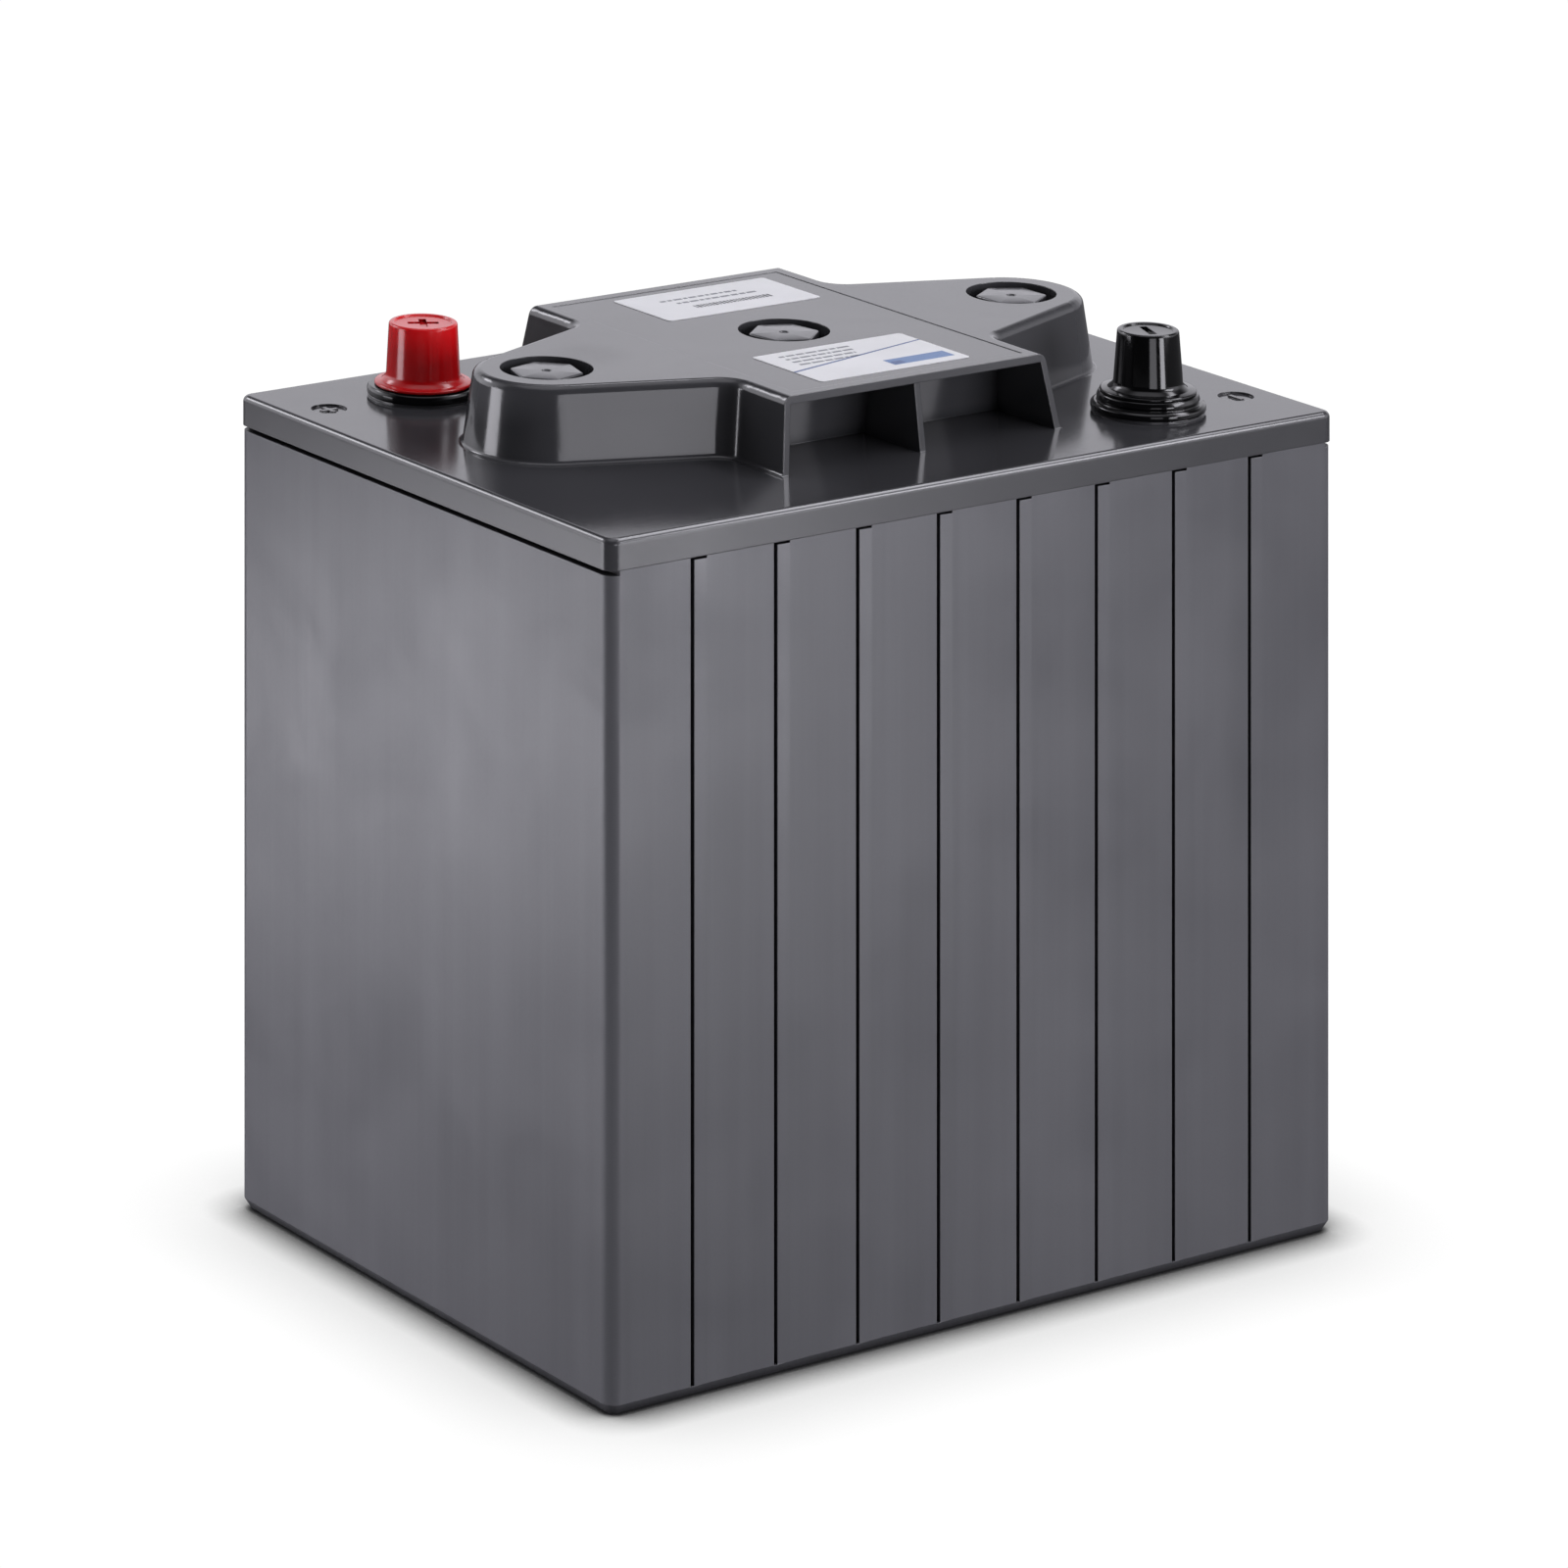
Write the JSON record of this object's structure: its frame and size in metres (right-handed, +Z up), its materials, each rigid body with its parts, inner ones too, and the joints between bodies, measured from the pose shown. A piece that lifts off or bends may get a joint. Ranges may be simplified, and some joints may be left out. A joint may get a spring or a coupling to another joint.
{
  "type": "lead-acid block battery",
  "caption": "Free-standing lead-acid block battery: ribbed case, sealed lid with raised grip block, hex valve plugs and capped posts at opposite corners.",
  "frame": {"origin": "centre of the underside of the case", "axes": "+Z up, X along the long side, Y along the short side; the positive post is at -X +Y and the negative post at +X -Y"},
  "size_m": [0.26, 0.181, 0.2604],
  "materials": {
    "case_plastic": "satin grey polypropylene, fine moulded texture",
    "lid_plastic": "smooth grey polypropylene with a soft gloss",
    "plug_plastic": "smooth moulded plastic",
    "seal_rubber": "matt black elastomer",
    "seat_plastic": "natural moulded plastic",
    "red_cap": "glossy red plastic",
    "black_cap": "glossy black plastic",
    "collar_plastic": "glossy black plastic",
    "lead_post": null,
    "lead_cast": null,
    "positive_plate": null,
    "negative_plate": null,
    "glass_mat": "absorbent glass-fibre mat",
    "label_film": "white printed film"
  },
  "bodies": {
    "housing": {"case": "case_plastic", "intercell_link_1": "lead_cast", "intercell_link_2": "lead_cast", "label_front": "label_film", "label_rear": "label_film", "lid": "lid_plastic", "negative_plates_1": "negative_plate", "negative_plates_2": "negative_plate", "negative_plates_3": "negative_plate", "negative_strap_1": "lead_cast", "negative_strap_2": "lead_cast", "negative_strap_3": "lead_cast", "positive_plates_1": "positive_plate", "positive_plates_2": "positive_plate", "positive_plates_3": "positive_plate", "positive_strap_1": "lead_cast", "positive_strap_2": "lead_cast", "positive_strap_3": "lead_cast", "post_gasket_negative": "seal_rubber", "post_gasket_positive": "seal_rubber", "riser_negative": "lead_post", "riser_positive": "lead_post", "separators_1": "glass_mat", "separators_2": "glass_mat", "separators_3": "glass_mat", "terminal_collar_negative": "collar_plastic", "terminal_collar_positive": "collar_plastic", "terminal_post_negative": "lead_post", "terminal_post_positive": "lead_post"},
    "positive_cap": {"terminal_cap_positive": "red_cap"},
    "negative_cap": {"terminal_cap_negative": "black_cap"},
    "plug_ring_1": {"plug_seal_1": "seal_rubber"},
    "plug_1": {"vent_plug_1": "plug_plastic", "valve_seat_1": "seat_plastic"},
    "relief_1": {"valve_cap_1": "seal_rubber"},
    "plug_ring_2": {"plug_seal_2": "seal_rubber"},
    "plug_2": {"vent_plug_2": "plug_plastic", "valve_seat_2": "seat_plastic"},
    "relief_2": {"valve_cap_2": "seal_rubber"},
    "plug_ring_3": {"plug_seal_3": "seal_rubber"},
    "plug_3": {"vent_plug_3": "plug_plastic", "valve_seat_3": "seat_plastic"},
    "relief_3": {"valve_cap_3": "seal_rubber"}
  },
  "joints": [
    {"name": "positive_cap_pull", "type": "slide", "parent": "housing", "child": "positive_cap", "axis": [0, 0, 1], "range_m": [0, 0.03]},
    {"name": "negative_cap_pull", "type": "slide", "parent": "housing", "child": "negative_cap", "axis": [0, 0, 1], "range_m": [0, 0.03]},
    {"name": "plug_rise_1", "type": "slide", "parent": "housing", "child": "plug_ring_1", "axis": [0, 0, 1], "range_m": [0, 0.012]},
    {"name": "plug_turn_1", "type": "hinge", "parent": "plug_ring_1", "child": "plug_1", "pos_m": [-0.085, 0, 0.25], "axis": [0, 0, 1], "range_deg": [0, 2880]},
    {"name": "relief_lift_1", "type": "slide", "parent": "plug_1", "child": "relief_1", "axis": [0, 0, 1], "range_m": [0, 0.001]},
    {"name": "plug_rise_2", "type": "slide", "parent": "housing", "child": "plug_ring_2", "axis": [0, 0, 1], "range_m": [0, 0.012]},
    {"name": "plug_turn_2", "type": "hinge", "parent": "plug_ring_2", "child": "plug_2", "pos_m": [0, 0, 0.25], "axis": [0, 0, 1], "range_deg": [0, 2880]},
    {"name": "relief_lift_2", "type": "slide", "parent": "plug_2", "child": "relief_2", "axis": [0, 0, 1], "range_m": [0, 0.001]},
    {"name": "plug_rise_3", "type": "slide", "parent": "housing", "child": "plug_ring_3", "axis": [0, 0, 1], "range_m": [0, 0.012]},
    {"name": "plug_turn_3", "type": "hinge", "parent": "plug_ring_3", "child": "plug_3", "pos_m": [0.085, 0, 0.25], "axis": [0, 0, 1], "range_deg": [0, 2880]},
    {"name": "relief_lift_3", "type": "slide", "parent": "plug_3", "child": "relief_3", "axis": [0, 0, 1], "range_m": [0, 0.001]}
  ],
  "couplings": [
    {"joint": "plug_rise_1", "follows": "plug_turn_1", "m_per_rad": 0.00023873},
    {"joint": "plug_rise_2", "follows": "plug_turn_2", "m_per_rad": 0.00023873},
    {"joint": "plug_rise_3", "follows": "plug_turn_3", "m_per_rad": 0.00023873}
  ]
}
